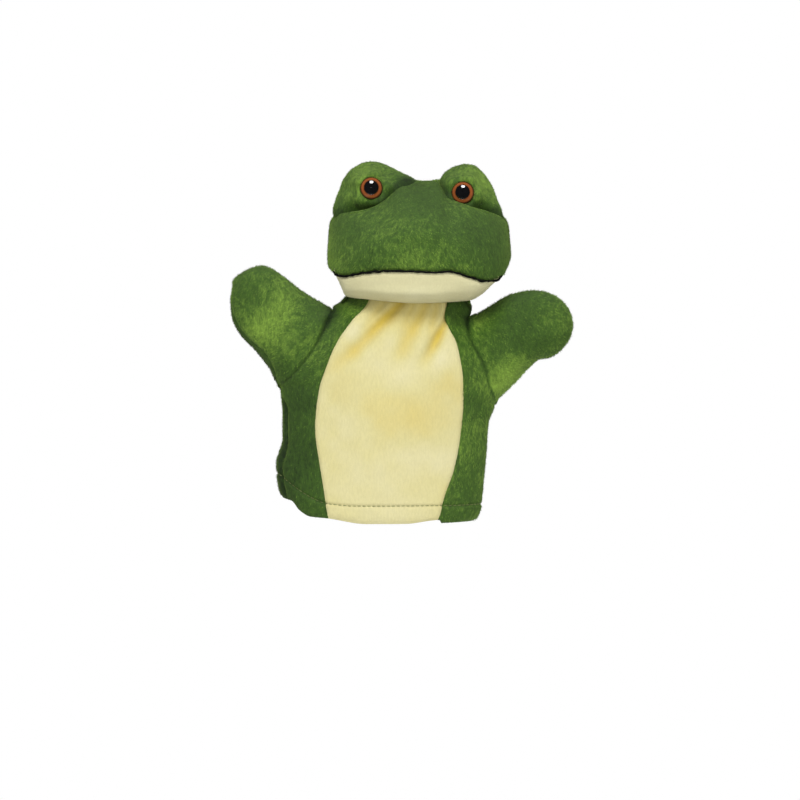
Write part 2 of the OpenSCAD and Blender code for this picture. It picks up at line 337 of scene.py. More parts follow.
class Shader:
    """A Principled material and short ways to wire nodes into it."""

    def __init__(self, name, colour, roughness, **sockets):
        self.material = bpy.data.materials.new(name)
        self.material.use_nodes = True
        self.tree = self.material.node_tree
        self.principled = self.tree.nodes["Principled BSDF"]
        self.set("Base Color", colour)
        self.set("Roughness", roughness)
        self.material.diffuse_color = colour
        for socket, value in sockets.items():
            self.set(socket.replace("_", " "), value)

    def set(self, socket, value):
        self.principled.inputs[socket].default_value = value

    def node(self, kind, **inputs):
        made = self.tree.nodes.new(kind)
        for socket, value in inputs.items():
            made.inputs[socket.replace("_", " ")].default_value = value
        return made

    def link(self, a, b):
        self.tree.links.new(a, b)

    def noise(self, scale, detail=2.0, stretch=(1, 1, 1), rough=0.5):
        """A noise pattern in the piece's own coordinates; scale is per metre."""
        place = self.node("ShaderNodeTexCoord")
        sized = self.node("ShaderNodeMapping", Scale=stretch)
        made = self.node("ShaderNodeTexNoise", Scale=scale, Detail=detail, Roughness=rough)
        self.link(place.outputs["Object"], sized.inputs["Vector"])
        self.link(sized.outputs["Vector"], made.inputs["Vector"])
        return made.outputs["Fac"]

    def ramp(self, factor, *stops):
        made = self.node("ShaderNodeValToRGB")
        band = made.color_ramp
        while len(band.elements) < len(stops):
            band.elements.new(0.5)
        for element, (place, colour) in zip(band.elements, stops):
            element.position = place
            element.color = colour
        self.link(factor, made.inputs["Fac"])
        return made.outputs["Color"]

    def multiply(self, share, a, b):
        """Colour a darkened by colour b, in the given share."""
        made = self.node("ShaderNodeMix")
        made.data_type = "RGBA"
        made.blend_type = "MULTIPLY"
        made.inputs[0].default_value = share
        self.link(a, made.inputs[6])
        self.link(b, made.inputs[7])
        return made.outputs[2]

    def paint(self, colour):
        self.link(colour, self.principled.inputs["Base Color"])

    def distance(self, place, low, high, **ends):
        """A map range over how far a place is from the piece's own middle."""
        length = self.node("ShaderNodeVectorMath")
        length.operation = "LENGTH"
        self.link(place, length.inputs[0])
        spread = self.node("ShaderNodeMapRange", From_Min=low, From_Max=high, **ends)
        self.link(length.outputs["Value"], spread.inputs["Value"])
        return spread

    def roughen(self, factor, low, high):
        made = self.node("ShaderNodeMapRange", To_Min=low, To_Max=high)
        self.link(factor, made.inputs["Value"])
        self.link(made.outputs["Result"], self.principled.inputs["Roughness"])

    def bump(self, height, strength, distance_mm):
        made = self.node("ShaderNodeBump", Strength=strength, Distance=distance_mm * MM)
        self.link(height, made.inputs["Height"])
        self.link(made.outputs["Normal"], self.principled.inputs["Normal"])


def plush(name, deep, colour, pale, grain, sheen):
    """Short pile seen from a distance: broad patches from the tone attribute, the nap's own tone with
    painted light and shade, fine strokes and a soft sheen.
    """
    s = Shader(name, colour, 0.95, Sheen_Weight=sheen, Sheen_Roughness=0.45,
               Sheen_Tint=scaled(pale, 1.3))
    tone_and_shade = s.node("ShaderNodeAttribute")
    tone_and_shade.attribute_name = "tone"
    strokes = s.noise(900, 2.0, (1, 1, 0.35), 0.6)
    broad = s.ramp(tone_and_shade.outputs["Fac"], (0.0, deep), (0.5, colour), (1.0, pale))
    dark = 1 - grain
    fine = s.ramp(strokes, (0.35, (dark, dark, dark, 1)), (0.65, (1.0, 1.0, 1.0, 1)))
    s.paint(s.multiply(1.0, broad, fine))
    s.roughen(strokes, 0.85, 1.0)
    s.bump(strokes, 0.5, 0.4)
    return s.material


def grained(name, colour, roughness, scale, shades, rough, detail=2.0, stretch=(1, 1, 1),
            bump=0.0, **sockets):
    """A plain material whose colour and roughness vary between two values with a fine grain."""
    s = Shader(name, colour, roughness, **sockets)
    grain = s.noise(scale, detail, stretch)
    s.paint(s.ramp(grain, (0.3, shades[0]), (0.7, shades[1])))
    s.roughen(grain, *rough)
    if bump:
        s.bump(grain, bump, 0.2)
    return s.material


def woven(name, colour, scale):
    return grained(name, colour, 0.85, scale, (scaled(colour, 0.85), colour), (0.75, 0.95),
                   bump=0.5, Sheen_Weight=0.1)


class Cloth:
    """A plush fabric: its materials, its pile's shades from dark to light, and its tufts.

    density is tufts per square millimetre, and mottle how much their shades differ at random.
    """

    def __init__(self, slot, deep, colour, pale, grain, sheen, density, length, width, mottle):
        self.slot = slot
        self.density, self.length, self.width, self.mottle = density, length, width, mottle
        self.material = plush(slot, deep, colour, pale, grain, sheen)
        self.backing = woven(slot + "_backing", tuple(between(colour, pale, 0.35).tolist()), 1400)
        self.shades = []
        for i, t in enumerate(np.linspace(-1, 1, 11)):
            shade = tuple(between(colour, pale if t > 0 else deep, abs(t)).tolist())
            self.shades.append(Shader(f"{slot}_pile_{i}", shade, 0.9, Sheen_Weight=sheen,
                                      Sheen_Roughness=0.4, Sheen_Tint=scaled(pale, 1.4)).material)


GREEN = Cloth("green_plush", srgb(24, 44, 9), srgb(62, 92, 27), srgb(135, 168, 62),
              grain=0.35, sheen=0.3, density=2.25, length=1.9, width=0.18, mottle=0.45)
YELLOW = Cloth("yellow_plush", srgb(197, 171, 66), srgb(202, 193, 138), srgb(216, 211, 180),
               grain=0.07, sheen=0.06, density=1.2, length=1.0, width=0.13, mottle=0.22)
CREAM = Cloth("cream_plush", srgb(184, 176, 128), srgb(203, 197, 154), srgb(218, 214, 184),
              grain=0.06, sheen=0.06, density=1.2, length=1.0, width=0.13, mottle=0.22)

# Places on the front painted lighter or darker, partly the nap's own brushing and partly painted
# light and shade, such as lit mound tops and arm tops and shaded flanks: x, z, size and tone
BRUSHED_AND_LIT = (
    (-77, 143, 13, -0.3), (-62, 138, 18, 0.45), (-72, 117, 14, 0.6), (-53, 105, 12, 0.1),
    (-38, 130, 8, -0.3), (87, 133, 14, -0.3), (87, 119, 12, -0.4), (101, 111, 10, -0.3),
    (107, 125, 8, 0.2), (71, 84, 12, 0.85), (85, 94, 13, 0.65), (60, 126, 6, 0.35),
    (62, 76, 9, -0.3), (60, 50, 16, 0.15), (-50, 45, 26, -0.9), (-55, 12, 20, -0.5),
    (-52, 78, 14, -0.5), (56, 14, 14, -0.2), (66, 176, 18, -0.55), (30, 198, 20, -0.25),
    (-18, 182, 14, -0.15), (20, 157, 12, 0.3), (-26, 165, 10, 0.3),
    (78, 168, 7, 0.35), (-10, 215, 16, 0.5), (60, 212, 16, 0.6),
)
# Places on the belly painted paler or deeper, as painted light and shade over its soft folds and
# dents, in the same way
BELLY_LIGHT_AND_SHADE = (
    (3, 70, 22, -0.6), (32, 62, 18, -0.45), (12, 92, 15, 0.55), (37, 102, 8, 0.6),
    (-14, 118, 7, 0.7), (5, 24, 30, 0.4), (-24, 86, 10, -0.3), (16, 137, 16, -0.6),
    (-18, 62, 12, 0.3), (40, 40, 12, 0.3),
)


def patches(p, places):
    return sum(tone * np.exp(-((p[..., 0] - x) ** 2 + (p[..., 2] - z) ** 2) / size**2)
               for x, z, size, tone in places)


def painted_seam_shade(p):
    """How much painted shade darkens the nap in the creases along the shoulder seams."""
    x, z = p[..., 0], p[..., 2]
    dark = 0
    for side, arm in ((left_side, LEFT), (right_side, RIGHT)):
        away = x - side(z)
        line = bell(away, 1.1) * ease(arm.armpit - 2, arm.armpit + 8, z)
        # Near the tops of the shoulders, under the head, the painted shade is broader and darker
        corner = bell(away, 1.6 + 2.4 * ease(116, 131, z)) * ease(110, 129, z)
        dark = dark + (0.75 * line + 1.5 * corner) * ease(141, 136, z)
    return dark


def green_tone(p):
    """How light the green nap is at points p, from -TONES at its deepest to TONES at its palest: its
    own tone, with painted shade along the shoulder seams and painted light and shade on the front.
    """
    bend = 6 * noise(p, 14, 13)[..., None] * [1, 0, 0]
    strokes = noise((p + bend) * [1, 1, 0.4], 0.85, 12)
    t = 0.2 * noise(p, 15, 7) + 0.15 * noise(p, 6, 8) + 0.45 * strokes - painted_seam_shade(p)
    front = ease(6, -6, p[..., 1])
    return t + patches(p, BRUSHED_AND_LIT) * front


def back_shaded_tone(p):
    """The back panels' nap, with painted shade where they come round to the front."""
    return green_tone(p) - 0.8 * ease(0.5, -2.5, p[..., 1])


def pale_tone(p):
    return 0.3 * noise(p, 22, 9) + 0.15 * noise(p, 7, 10)


def belly_shaded_tone(p):
    """How pale the belly's nap is: its own tone, with painted shade in deep yellow down the gathers
    and painted light and shade patches.
    """
    # The gathers' valleys get painted shade
    gathers = valleys(p[..., 0], p[..., 2], PLEATS)
    return pale_tone(p) + patches(p, BELLY_LIGHT_AND_SHADE) - 0.42 * gathers


def thread_material(name, colour):
    shades = scaled(colour, 0.6), scaled(colour, 1.5)
    return grained(name, colour, 0.8, 1500, shades, (0.55, 0.85), detail=1.0,
                   stretch=(1, 1, 0.3), bump=0.6, Specular_IOR_Level=0.1)


black_thread = thread_material("black_thread", srgb(10, 11, 8))
hem_thread = thread_material("hem_thread", srgb(112, 118, 78))
label_tape = woven("label_tape", srgb(238, 236, 228), 1800)
lining_cloth = woven("lining_cloth", srgb(226, 221, 204), 1200)
filling = woven("fibre_filling", srgb(240, 238, 232), 300)


# ---------------------------------------------------------------- body and arms: their flat outline

class Arm:
    """An arm's outline and depth along its own axis, which starts at the root and rises outward."""

    def __init__(self, side, root, rise, length, half_width, middle, armpit):
        self.side = side
        self.armpit = armpit
        self.length = length
        self.sign = -1 if side == "right" else 1
        self.root = np.array(root)
        angle = math.radians(rise)
        self.out = np.array([self.sign * math.cos(angle), 0, math.sin(angle)])
        self.up = np.array([-self.sign * math.sin(angle), 0, math.cos(angle)])
        self.half_width = curve(*half_width)
        self.middle = curve(*middle)

    depth = staticmethod(curve((-30, 20), (-12, 18.5), (0, 17), (16, 15.2), (36, 13), (51, 12.5)))

    def narrowing(self, along):
        """1 along the arm, falling to 0 round its tip."""
        q = np.clip((along - 20) / (self.length - 20), 0, 1)
        return (1 - q**2.2) ** (1 / 2.2)

    def local(self, x, z):
        """How far along the arm and how far up across it a place on the front view lies."""
        dx, dz = x - self.root[0], z - self.root[2]
        return (dx * self.out[0] + dz * self.out[2], dx * self.up[0] + dz * self.up[2])

    def world(self, along, up):
        """The x and z of a place along the arm and up across it."""
        return (self.root[0] + along * self.out[0] + up * self.up[0],
                self.root[2] + along * self.out[2] + up * self.up[2])

    def thickness(self, x, z):
        """Half the depth of the arm's inflated outline, fading out inside the body."""
        along, up = self.local(x, z)
        end = self.narrowing(along)
        across = (up - self.middle(along)) / np.maximum(self.half_width(along) * end, 1e-6)
        round_ = np.sqrt(np.clip(1 - np.abs(across) ** 2.3, 0, None))
        above = ease(self.armpit, self.armpit + 8, z)
        return self.depth(along) * end**0.9 * round_ * ease(-24, -4, along) * above


joints = {joint["name"]: joint for joint in frame["joints"]}


def joint_mm(name):
    return [c / MM for c in joints[name]["pos_m"]]


# Each arm's root, rise in degrees, length, half width and middle line along it, and armpit height
RIGHT = Arm("right", joint_mm("right_arm_raise"), 44, 51.2,
            ((-15, 29), (-2.5, 26.5), (8, 24.6), (20.6, 23.4), (30, 22.7), (37, 22.2),
             (43.5, 21.7), (47, 18.5), (51.2, 12.5)),
            ((-15, 0.5), (-2.5, 2.7), (8, 1.9), (20.6, 1.3), (30, 2), (37, 3.3), (43.5, 4.5),
             (47, 5.2), (51.2, 1.8)), 82.3)
LEFT = Arm("left", joint_mm("left_arm_raise"), 30, 50.8,
           ((-18, 28.2), (-12.5, 27), (-1, 25.2), (11, 23.3), (18, 22.8), (26, 23.8), (41, 23.7),
            (51, 22.5)),
           ((-18, 0.6), (-12.5, 1.4), (-1, 3), (11, 5), (18, 5.9), (22.5, 5.2), (26, 4.3),
            (33, 3.3), (41, 2.4), (51, 1)), 72)

# The body's flat outline as (height, x), up its two sides to the armpits
LEFT_FLANK = ((0, 58.5), (2, 61), (7.4, 63.6), (15, 64.9), (40, 67.3), (61, 69.2), (72, 72.3))
RIGHT_FLANK = ((0, -61), (16.7, -64.2), (29, -62.2), (48, -59.8), (67.6, -59.8), (83.7, -61.6))
# From the armpits up, the sides are the shoulder seams
left_side = curve(*LEFT_FLANK, (86, 67.6), (95, 65.4), (104, 61.4), (112, 57), (119, 54.8),
                  (126, 54.4), (129.5, 57), (133, 57.3), (137, 56), (141, 53.2), (148, 51))
right_side = curve(*RIGHT_FLANK, (90, -55), (98.5, -47.3), (106.5, -41.3), (115.7, -35.8),
                   (125, -31.3), (131, -28.8), (133.5, -29), (137, -24), (141, -19.5), (148, -17.5))
# Where those sides would be if the body's fullness ran on into the arms
left_reach = curve(*LEFT_FLANK, (85, 79), (97, 82.5), (112, 77), (121, 69), (131.4, 58.5),
                   (137, 54.5), (141, 52.5), (148, 51))
right_reach = curve(*RIGHT_FLANK, (90, -65.5), (100, -68), (115, -63), (126, -51), (133.3, -32),
                    (137, -24), (141, -19.5), (148, -17.5))
centre_line = curve((0, 0), (84, 6), (137, 17), (148, 17))
# Half the body's depth at each height
fullness = curve((0, 24.6), (12, 25), (60, 26), (100, 24.5), (126, 22), (138, 20.2), (148, 18.5))
belly_right = curve((0, -31.5), (16, -34), (34, -37), (60, -40), (82, -37.5), (99, -32),
                    (113, -25.5), (126, -16.5), (137, -7.5), (148, -5))
belly_left = curve((0, 36.5), (16, 40.5), (34, 47), (52, 50.5), (75, 52.5), (90, 52), (100, 50.5),
                   (112, 47.8), (121, 43.2), (129, 40.9), (137, 43), (148, 43))
# How far the lower edge, and the hem's stitching above it, rise at each x
hem_lift = curve((-66, 16.5), (-59, 14.6), (-55, 13.6), (-50, 8), (-43, 4.2), (-32, 3.3), (-8, 0),
                 (16, 0), (33, 1.8), (36.8, 2), (38.5, 0), (66, 0))
crease_lift = curve((-66, 21), (-58, 15.5), (-48, 8.5), (-40, 4), (-33, 1.5), (-18, 0))
HEM = 11.0                  # the height of the hem's stitching, before that rise
NECK_TOP = 146.0


def thickness(x, z):
    """Half the depth of the whole inflated outline, body and arms together."""
    c = centre_line(z)
    left_far = between(left_side(z), left_reach(z), ease(LEFT.armpit, LEFT.armpit + 3, z))
    right_far = between(right_side(z), right_reach(z), ease(RIGHT.armpit, RIGHT.armpit + 3, z))
    reach = np.where(x > c, left_far - c, c - right_far)
    body = fullness(z) * np.sqrt(np.clip(1 - (np.abs(x - c) / reach) ** 2.25, 0, None))
    return (body**6 + RIGHT.thickness(x, z) ** 6 + LEFT.thickness(x, z) ** 6) ** (1 / 6)


def on_body(x, z, front):
    """Points of the body's front or back skin, with its lower edge lifted."""
    y = thickness(x, z) * (-1 if front else 1)
    hem = ease(0, HEM, z)
    lift = (hem_lift(x) * (1 - hem) + crease_lift(x) * hem) * (1 - ease(HEM + 2, 62, z))
    return np.stack([x, y, z + lift], -1)


# Gathers below the neck: each is a valley on the belly from a top point to a bottom point, with
# its width and depth
PLEATS = (((14, 137), (-27, 95), 4.6, 3.0), ((28.5, 135), (10, 97), 4.4, 2.2),
          ((40.5, 124), (28, 98), 3.4, 3.6), ((3, 137), (-16, 112), 2.4, 0.8),
          ((36, 138), (30, 112), 2.2, 1.2), ((22, 138), (14, 118), 2.0, 0.8))
# The same on the flanks, where the cloth is caught at the shoulders
CATCHES = (((-22, 138), (-33, 112), 2.4, 1.2), ((50, 139), (46, 118), 2.2, 1.2))


def valleys(x, z, folds):
    """How deep the folds are at each place on the front view."""
    depth = 0
    for (x0, z0), (x1, z1), width, deep in folds:
        t = (z0 - z) / (z0 - z1)
        centre = x0 + (x1 - x0) * np.clip(t, -0.3, 1.3)
        fade = ease(1.25, 0.55, t) * (0.55 + 0.45 * ease(-0.1, 0.35, t))
        wide = width * (0.8 + 0.9 * np.clip(t, 0, 1))
        depth = depth + deep * fade * bell(x - centre, wide)
    return depth


def wrinkles(g, big, small, seed):
    return big * noise(g * [1, 1, 0.8], 27, seed) + small * noise(g, 9, seed + 5)


def shoulder_dip(g, z, side):
    """The grid after its sleeve seam pulls straight in, deeper towards the top of the shoulders."""
    facing = grid_normals(g)[..., 1]
    depth = SEAM_DEPTH * (1 + 2.4 * ease(110, 130, z))
    dip = -tuck(g, side, depth=1.0, width=1.5 + 1.1 * ease(110, 130, z))
    return g - np.stack([0 * z, facing * np.abs(facing) * depth * dip, 0 * z], -1)


def hem_shape(z):
    """The folded hem's extra cloth, and the dip where it is stitched."""
    return 0.6 * (1 - ease(HEM - 1.2, HEM + 0.6, z)) - 0.75 * bell(z - HEM, 1.0)


body_rows = np.concatenate([np.linspace(0, 16, 34)[:-1], np.linspace(16, NECK_TOP, 150)])


def from_silhouette(t):
    return 1 - np.cos(t * math.pi / 2)


def to_silhouette(t):
    return np.sin(t * math.pi / 2)


def both_silhouettes(t):
    return (1 - np.cos(t * math.pi)) / 2


SIDE_WRAP = 3.6             # how far the back panel comes round to the front on the right side
WRAP_COLS = 14


def wrap(z):
    return SIDE_WRAP * ease(82, 70, z) * (0.75 + 0.25 * ease(60, 10, z))


# Which sides of each body panel are sewn to the next one, and which to a sleeve above the armpit
SEWN_SIDES = {"back_panel": (), "belly": ("left", "right"), "left_flank": ("left",),
              "right_flank": ("right",)}
SLEEVE_SIDES = {"back_panel": (("left", LEFT), ("right", RIGHT)), "belly": (),
                "left_flank": (("right", LEFT),), "right_flank": (("left", RIGHT),)}
# The gathers also show on the back, a little further to the left at their tops
BACK_PLEATS = [((x0 + 4, z0), low, width, deep) for (x0, z0), low, width, deep in PLEATS]


def panel_seams(name, g, z):
    """How far a body panel dips at its seams, how far it is pulled straight in at its sleeves,
    and how much of its wrinkles is left there."""
    seams = tuck(g, *SEWN_SIDES[name], depth=0.8, width=1.3)
    calm = 1.0
    dips = 0.0
    for side, arm in SLEEVE_SIDES[name]:
        above = ease(arm.armpit - 2, arm.armpit + 4, z)
        seams = np.minimum(seams, tuck(g, side) * ease(arm.armpit, arm.armpit - 14, z))
        calm = calm * (1 - above * (1 - ease(0, 5, run_from(g, side))))
        dips = dips + (shoulder_dip(g, z, side) - g) * above[..., None]
    return seams, dips, calm


def body_panel(name, sides, spread, cols, front):
    """One panel of the body between two side curves, as its outer and inner grids."""
    rows = body_rows[:, None]
    t = spread(np.linspace(0, 1, cols))[None]
    a, b = sides[0](rows), sides[1](rows)
    if name == "right_flank":
        a = a + wrap(rows)
    z = rows + 0 * t
    x = a + (b - a) * t
    g = on_body(x, z, front)
    if not front:
        # More columns come round to the front on the right side; above the armpit they close up
        u = from_silhouette(np.linspace(0, 1, WRAP_COLS))[None, 1:]
        z = np.concatenate([z, rows + 0 * u], 1)
        x = np.concatenate([x, b + wrap(rows) * u], 1)
        closed = ease(RIGHT.armpit - 1, RIGHT.armpit + 0.5, rows)[..., None]
        round_front = on_body(x[:, cols:], z[:, cols:], True)
        g = np.concatenate([g, between(round_front, g[:, -1:], closed)], 1)
    seams, dips, calm = panel_seams(name, g, z)
    change = seams + hem_shape(z) + wrinkles(g, 0.9, 0.25, 11) * calm
    change = change * ease(0, 5, z) - 0.6 * (1 - ease(0, 2.2, z))
    if name == "belly":
        change = change - valleys(x, z, PLEATS)
    elif front:
        change = change - valleys(x, z, CATCHES)
    else:
        change = change - 0.9 * valleys(x, z, BACK_PLEATS)
    outer = pushed(g, change - COAT) + dips
    thick = CLOTH + 1.5 * (1 - ease(HEM - 0.5, HEM + 0.5, z))
    inner = outer - grid_normals(g) * thick[..., None]
    if not front:
        for layer in (outer, inner):
            layer[:, cols:] = between(layer[:, cols:], layer[:, cols - 1:cols], closed)
    return outer, inner


# The body's panels come to follow the neck between these two points
body_neck = ("body", "neck", (0.018, 0, 0.116), (0.018, 0, 0.139))


def join_frame(obj, nodes=(), body=None, blend=None):
    """Fixes a piece to one body, or, given a blend, bakes its place into its mesh instead,
    and hides the CAD nodes that it replaces."""
    if blend:
        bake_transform(obj)
    else:
        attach(obj, body)
    if nodes:
        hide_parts(*nodes)


def make_panel(name, outer, cloth, tone, nodes, seed, inner=None, body=None, blend=None, bare=0,
               **kinds):
    """A sewn panel, with the pile on it.

    bare is how many columns at either side have no pile.
    """
    sheet = shell(name, outer, cloth.material, inner=inner, tone=tone,
                  closed=kinds.get("closed", False), guide=kinds.get("guide"),
                  backing=cloth.backing)
    join_frame(sheet, nodes, body, blend)
    covered = outer[:, bare:outer.shape[1] - bare]
    cover_in_pile(name + "_pile", covered, cloth, tone, seed, body, blend, **kinds)


def cover_in_pile(name, g, cloth, tone, seed, body, blend=None, **kinds):
    tufts = pile(name, g, cloth, seed, tone, **kinds)
    # Fine fibres let light through, so they cast no shadows on each other or on the cloth
    tufts.visible_shadow = False
    tufts.visible_diffuse = False
    join_frame(tufts, body=body, blend=blend)


BODY_PANELS = (
    ("back_panel", (left_side, right_side), both_silhouettes, 190, False, GREEN, back_shaded_tone,
     ("body_back_panel", "neck_back")),
    ("right_flank", (right_side, belly_right), from_silhouette, 70, True, GREEN, green_tone,
     ("right_flank_panel",)),
    ("left_flank", (belly_left, left_side), to_silhouette, 60, True, GREEN, green_tone,
     ("left_flank_panel",)),
    ("belly", (belly_right, belly_left), lambda t: t, 150, True, YELLOW, belly_shaded_tone,
     ("belly_panel", "neck_front")),
)
body_grids = {}
for seed, (name, sides, spread, cols, front, cloth, tone, nodes) in enumerate(BODY_PANELS, 11):
    outer, inner = body_panel(name, sides, spread, cols, front)
    body_grids[name] = outer
    make_panel(name, outer, cloth, tone, nodes, seed, inner=inner, blend=body_neck)


# ---------------------------------------------------------------- arms

ARM_START = -10.0
ARM_CUT = 14.0              # where the sleeve's two stretches meet, between the two joints
CUT_ROW = 45
# How far round from its lower edge a sleeve's front seam lies, in degrees, along the arm
seam_angle = {"right": curve((-10, 4), (0, 24), (7, 33), (16, 30), (32, 25), (44, 14), (51, 3)),
              "left": curve((-10, 0), (51, 0))}


def arm_grid(arm, front):
    """A sleeve's front or back from the shoulder seam to the tip, with rows along the arm."""
    seam_side = right_side if arm.side == "right" else left_side
    q = np.sin(np.linspace(0, 1, 90) * math.pi / 2)
    rows = np.concatenate([np.linspace(ARM_START, ARM_CUT, CUT_ROW + 1)[:-1],
                           ARM_CUT + (arm.length - 0.02 - ARM_CUT) * q])[:, None]
    t = np.linspace(0, 1, 100)[None]
    start = np.radians(seam_angle[arm.side](rows))
    if front:
        turn = start + (math.pi - start) * t
    else:
        turn = math.pi + (math.pi + start) * t

    def up_at(along):
        return arm.middle(along) - arm.half_width(along) * arm.narrowing(along) * np.cos(turn)

    # Small steps find where each column meets the shoulder seam
    seam = np.full_like(turn[:1], ARM_START)
    for _ in range(25):
        x, z = arm.world(seam, up_at(seam)[:1])
        seam = seam + (seam_side(z) - x) * arm.sign * 0.6
    along = rows + (seam - ARM_START) * (1 - ease(ARM_START, ARM_CUT - 1, rows))
    x, z = arm.world(along, up_at(along))
    face = np.where(turn % (2 * math.pi) < math.pi, -1, 1)
    face = np.where(np.abs(np.sin(turn)) < 1e-6, 0, face)
    g = np.stack([x, thickness(x, z) * face, z], -1)
    # Columns run anticlockwise from above and rows up, so that normals face outward
    g = np.swapaxes(g, 0, 1) if front else np.swapaxes(g, 0, 1)[::-1]
    return g[:, ::-1] if (arm.side == "right") == front else g


def arm_guide(arm):
    """Away from the arm's middle line, which stops short of its tip."""
    def away(g):
        along, up = arm.local(g[..., 0], g[..., 2])
        core = np.clip(along, -30, arm.length - 16)
        x, z = arm.world(core, arm.middle(core) + np.clip(up - arm.middle(core), -8, 8))
        return unit(g - np.stack([x, 0 * x, z], -1))
    return away


def sewn_arm(g, arm, front, seed):
    """An arm's grid with its seams pulled in and the fabric's gentle lumps."""
    root = "right" if (arm.side == "right") == front else "left"
    away = run_from(g, root)
    edge = np.minimum(run_from(g, "bottom"), run_from(g, "top"))
    seams = 0.7 * bell(edge, 1.6) * ease(0, 6, away)
    change = -SEAM_DEPTH * seams + wrinkles(g, 0.8, 0.3, seed) * ease(0, 5, away) - COAT
    return pushed(g, change, guide=arm_guide(arm)) + shoulder_dip(g, g[..., 2], root) - g


def make_arm_side(arm, face, seed):
    """An arm's front or back, as its shoulder stretch and its arm stretch."""
    side, front = arm.side, face == "front"
    whole = sewn_arm(arm_grid(arm, front), arm, front, seed + front)
    inner = pushed(whole, np.full(whole.shape[:2], -CLOTH), guide=arm_guide(arm))
    if (side == "right") == front:
        near, far = slice(-CUT_ROW - 1, None), slice(None, -CUT_ROW)
    else:
        near, far = slice(None, CUT_ROW + 1), slice(CUT_ROW, None)
    # Each stretch's columns, the two bodies it joins, and from where to where along the arm
    stretches = (("shoulder", near, "body", f"{side}_shoulder", -12.0, 8.0),
                 ("arm", far, f"{side}_shoulder", f"{side}_arm", ARM_CUT + 1, 31.0))
    for part, cols, first, second, start, end in stretches:
        name = f"{side}_{part}_{face}"
        ends = [tuple((arm.root + arm.out * at) * MM) for at in (start, end)]
        make_panel(name + "_cloth", whole[:, cols], GREEN, green_tone if front else back_shaded_tone,
                   (name,), seed + 7 + front * 2 + (part == "arm"), inner=inner[:, cols],
                   blend=(first, second, *ends), guide=arm_guide(arm))


for arm, seed in ((RIGHT, 31), (LEFT, 41)):
    for face in ("front", "back"):
        make_arm_side(arm, face, seed)


# ---------------------------------------------------------------- head

HEAD_X = 24.9               # the head's middle, half its width, and the height of its widest level
HEAD_HALF = 56.8
HEAD_Z = 168.0
snout_top = curve((-32, 190), (-24, 191.6), (-12.6, 192.9), (-3.9, 195.3), (2.2, 198.8),
                  (7.4, 203.2), (11, 207.4), (16, 210.6), (22.2, 211.6), (33.5, 211.6),
                  (37.9, 208.4), (40.9, 203.6), (44, 200), (51, 197), (59.6, 194.4),
                  (69.2, 192.2), (82, 189))
chin_foot = curve((-32, 155), (-29.5, 153.6), (-26.9, 150.8), (-24.4, 145.5), (-20.7, 138.2),
                  (-6.4, 137.2), (8, 135.8), (22.6, 135.2), (40.7, 135.8), (56.2, 136.9),
                  (63, 140.3), (69.2, 145.8), (73.5, 149.6), (76.6, 152), (79.5, 157), (82, 163))
mouth_height = curve((-32, 156), (-30, 155.2), (-26.3, 153.4), (-22, 152.8), (-6.4, 155.2),
                     (8, 156), (22.6, 155.6), (34.5, 155.1), (42, 155.6), (53, 153),
                     (64.9, 149.8), (71, 150), (76.6, 152.4), (82, 153))
ridge_front = curve((-32, 0), (-25, 14), (-18, 21.5), (-6, 25.5), (4, 23.5), (12, 15), (20, 8),
                    (32, 8), (38, 13), (44, 21), (53, 25), (65, 21.5), (75, 12), (82, 0))
back_top = curve((-32, 190), (-24, 196), (-6, 206), (10, 210.5), (21, 212), (29.5, 211.2),
                 (37.6, 212.6), (42, 212.2), (56, 205), (70, 197), (82, 190))


def spline(points, t):
    """Points on smooth curves, one for each column; t counts control points from the first."""
    ends = (2 * points[:1] - points[1:2], points, 2 * points[-1:] - points[-2:-1])
    p = np.concatenate(ends)
    i = np.clip(t.astype(int), 0, len(points) - 2)
    s = (t - i)[..., None]
    col = np.arange(points.shape[1])[None]
    a, b, c, d = (p[i + k, col] for k in range(4))
    return 0.5 * (2 * b + (c - a) * s + (2 * a - 5 * b + 4 * c - d) * s**2
                  + (3 * b - a - 3 * c + d) * s**3)


def head_columns(cols):
    """The head's outline at each column across it, from its right end to its left end."""
    s = np.sin(np.radians(np.linspace(-89.98, 89.98, cols)))
    x = HEAD_X + HEAD_HALF * s

    def rounded(power):
        return (1 - np.abs(s) ** power) ** (1 / power)

    top = HEAD_Z + (snout_top(x) - HEAD_Z) * rounded(14)
    foot = HEAD_Z - (HEAD_Z - chin_foot(x)) * rounded(7)
    crown = HEAD_Z + (back_top(x) - HEAD_Z) * rounded(14)
    mouth = np.maximum(mouth_height(x), foot + 0.2)
    neck = 18 * np.exp(-(np.abs(x - 18) / 31) ** 4)
    return x, rounded(2.4), top, foot, crown, mouth, neck


def head_part(controls, x, rows, first, last):
    """A grid from control points that are (how far back, how high) for each column, and from
    which control point to which it runs."""
    points = np.array([np.stack([x, y + 0 * x, z + 0 * x], -1) for y, z in controls])
    share = np.linspace(0, 1, rows)[:, None]
    return spline(points, first + (last - first) * share + 0 * x)


def slimmed(g):
    """The head's sides draw in a little towards the eyes."""
    far = (g[..., 0] - HEAD_X) / HEAD_HALF
    slim = 0.022 * ease(166, 185, g[..., 2]) + 0.038 * ease(183, 194, g[..., 2])
    g[..., 0] = HEAD_X + HEAD_HALF * far * (1 - slim * far**4)
    return g


